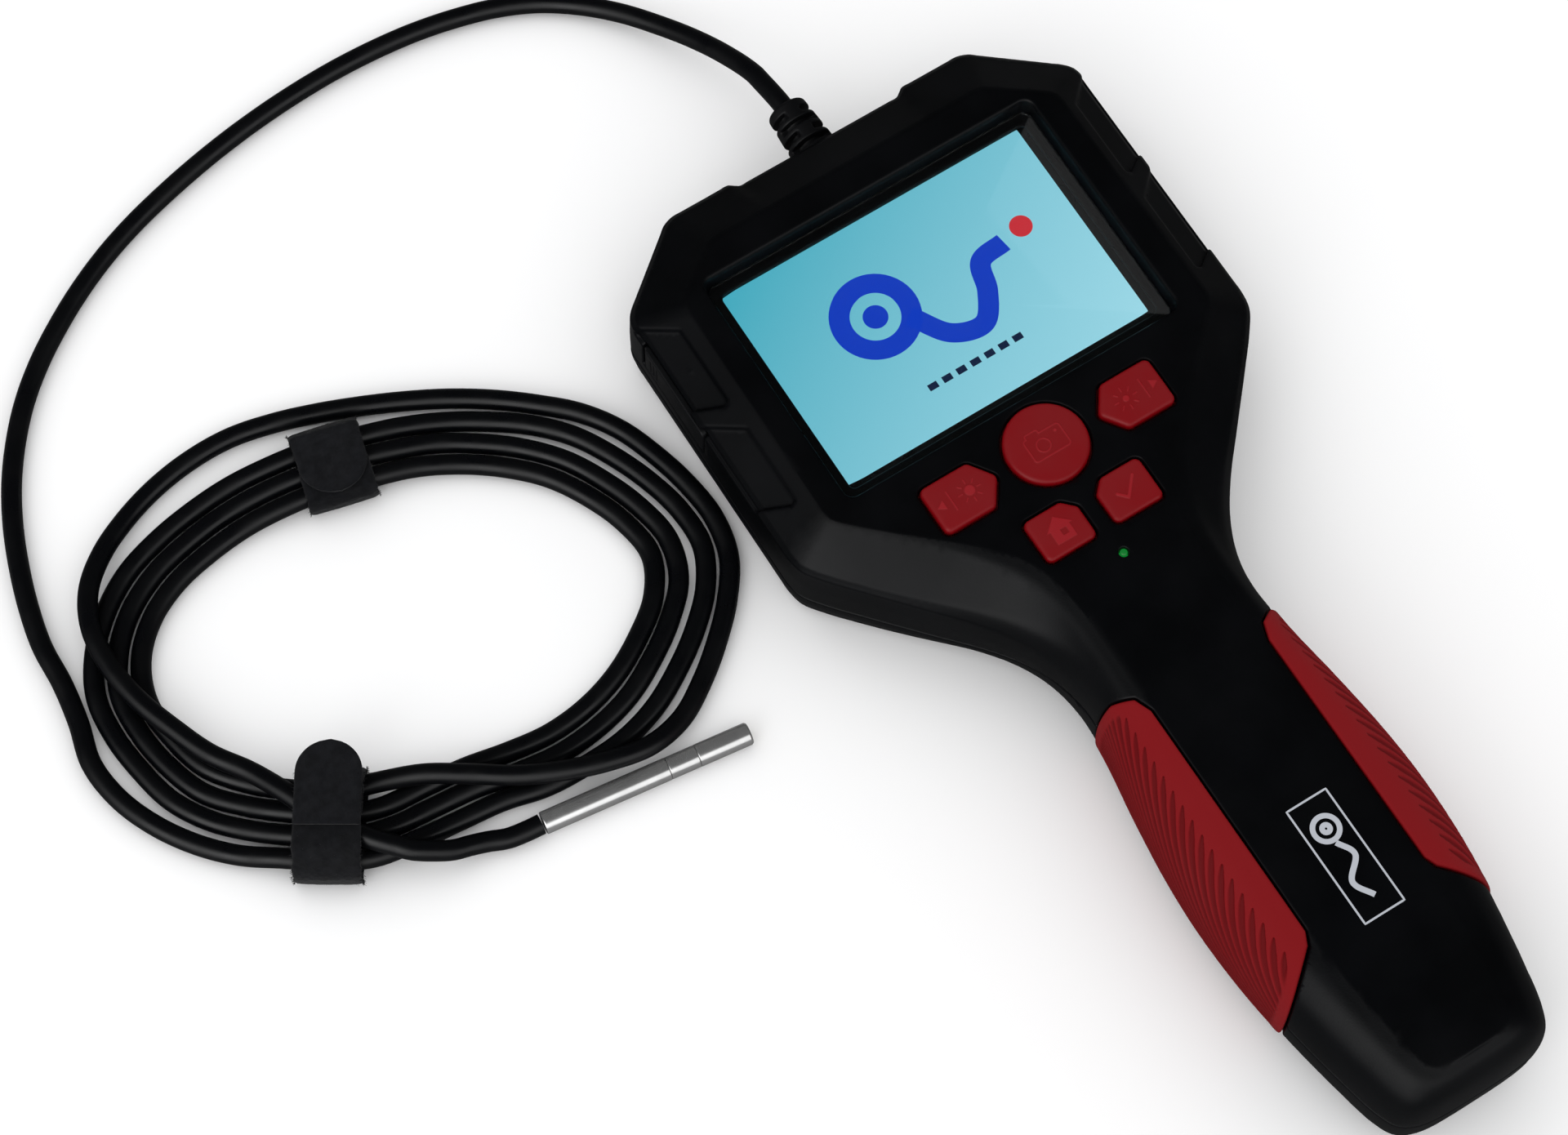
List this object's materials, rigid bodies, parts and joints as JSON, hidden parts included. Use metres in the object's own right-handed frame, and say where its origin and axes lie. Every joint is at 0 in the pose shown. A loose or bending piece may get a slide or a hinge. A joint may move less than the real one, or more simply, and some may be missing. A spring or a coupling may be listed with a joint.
{
  "type": "handheld inspection camera",
  "caption": "Handheld inspection camera: screen unit with rubber-gripped handle, five keys, and a coiled cable ending in a steel camera head.",
  "frame": {"origin": "on the resting plane, under the middle of the display; the unit lies on its back", "axes": "+X right as the user sees the screen, +Y towards the top of the screen where the cable leaves, +Z out of the screen"},
  "size_m": [0.2575, 0.3254, 0.0321],
  "materials": {
    "black_plastic": "fine matte texture",
    "red_key_plastic": "satin",
    "red_grip_rubber": "soft matte",
    "black_rubber": "smooth",
    "steel": "turned",
    "dark_steel": "blackened",
    "hook_loop_fabric": "woven pile",
    "window_glass": "gloss",
    "screen": "lit display",
    "light_plastic": "moulded",
    "circuit_board": "solder mask",
    "battery_sleeve": "shrink sleeve",
    "lens_glass": "gloss",
    "led_plastic": "clear dome",
    "light_pipe": "clear"
  },
  "bodies": {
    "housing": {"front_shell": "black_plastic", "rear_shell": "black_plastic", "rear_screw_1": "dark_steel", "rear_screw_2": "dark_steel", "rear_screw_3": "dark_steel", "rear_screw_4": "dark_steel", "rear_screw_5": "dark_steel", "rear_screw_6": "dark_steel", "left_grip": "red_grip_rubber", "right_grip": "red_grip_rubber", "capture_key_switch": "black_plastic", "left_key_switch": "black_plastic", "right_key_switch": "black_plastic", "home_key_switch": "black_plastic", "confirm_key_switch": "black_plastic", "display_window": "window_glass", "display_panel": "screen", "display_frame": "light_plastic", "main_board": "circuit_board", "usb_connector": "steel", "card_socket": "steel", "status_led": "led_plastic", "led_light_pipe": "light_pipe", "battery_cell": "battery_sleeve", "battery_contact_front": "steel", "battery_contact_rear": "steel", "strain_relief": "black_rubber", "cable_inboard": "black_rubber", "cable_plug": "light_plastic"},
    "capture_key_body": {"capture_key": "red_key_plastic", "capture_key_plunger": "light_plastic"},
    "left_key_body": {"left_key": "red_key_plastic", "left_key_plunger": "light_plastic"},
    "right_key_body": {"right_key": "red_key_plastic", "right_key_plunger": "light_plastic"},
    "home_key_body": {"home_key": "red_key_plastic", "home_key_plunger": "light_plastic"},
    "confirm_key_body": {"confirm_key": "red_key_plastic", "confirm_key_plunger": "light_plastic"},
    "card": {"memory_card": "black_plastic"},
    "cover": {"port_cover": "black_rubber"},
    "coil": {"cable_coil": "black_rubber", "tie_1": "hook_loop_fabric", "tie_2": "hook_loop_fabric"},
    "camera_head": {"cable_tail": "black_rubber", "probe_sleeve": "steel", "probe_ring": "steel", "probe_tip": "steel", "probe_lens": "lens_glass", "probe_light_ring": "led_plastic"},
    "tab_1": {"tie_1_tab": "hook_loop_fabric"},
    "tab_2": {"tie_2_tab": "hook_loop_fabric"}
  },
  "joints": [
    {"name": "capture_key_press", "type": "slide", "parent": "housing", "child": "capture_key_body", "axis": [0, 0, -1], "range_m": [0, 0.0008], "stiffness_N_per_m": 400},
    {"name": "left_key_press", "type": "slide", "parent": "housing", "child": "left_key_body", "axis": [0, 0, -1], "range_m": [0, 0.0008], "stiffness_N_per_m": 400},
    {"name": "right_key_press", "type": "slide", "parent": "housing", "child": "right_key_body", "axis": [0, 0, -1], "range_m": [0, 0.0008], "stiffness_N_per_m": 400},
    {"name": "home_key_press", "type": "slide", "parent": "housing", "child": "home_key_body", "axis": [0, 0, -1], "range_m": [0, 0.0008], "stiffness_N_per_m": 400},
    {"name": "confirm_key_press", "type": "slide", "parent": "housing", "child": "confirm_key_body", "axis": [0, 0, -1], "range_m": [0, 0.0008], "stiffness_N_per_m": 400},
    {"name": "memory_card_push", "type": "slide", "parent": "housing", "child": "card", "axis": [1, 0, 0], "range_m": [0, 0.0008], "stiffness_N_per_m": 200},
    {"name": "port_cover_open", "type": "hinge", "parent": "housing", "child": "cover", "pos_m": [-0.0569, 0.0025, 0.01685], "axis": [0, 0, 1], "range_deg": [0, 110]},
    {"name": "cable_swing", "type": "hinge", "parent": "housing", "child": "coil", "pos_m": [0, 0.0615, 0.015], "axis": [0, 0, 1], "range_deg": [-20, 0]},
    {"name": "camera_head_bend", "type": "hinge", "parent": "coil", "child": "camera_head", "pos_m": [-0.1518, -0.03903, 0.0073], "axis": [0, 0, 1], "range_deg": [-35, 0]},
    {"name": "tie_1_peel", "type": "hinge", "parent": "coil", "child": "tab_1", "pos_m": [-0.12144, 0.05126, 0.00755], "axis": [-0.9711, 0.2386, 0], "range_deg": [0, 100]},
    {"name": "tie_2_peel", "type": "hinge", "parent": "coil", "child": "tab_2", "pos_m": [-0.16466, -0.02644, 0.0124], "axis": [0.8426, -0.5385, 0], "range_deg": [0, 100]}
  ]
}
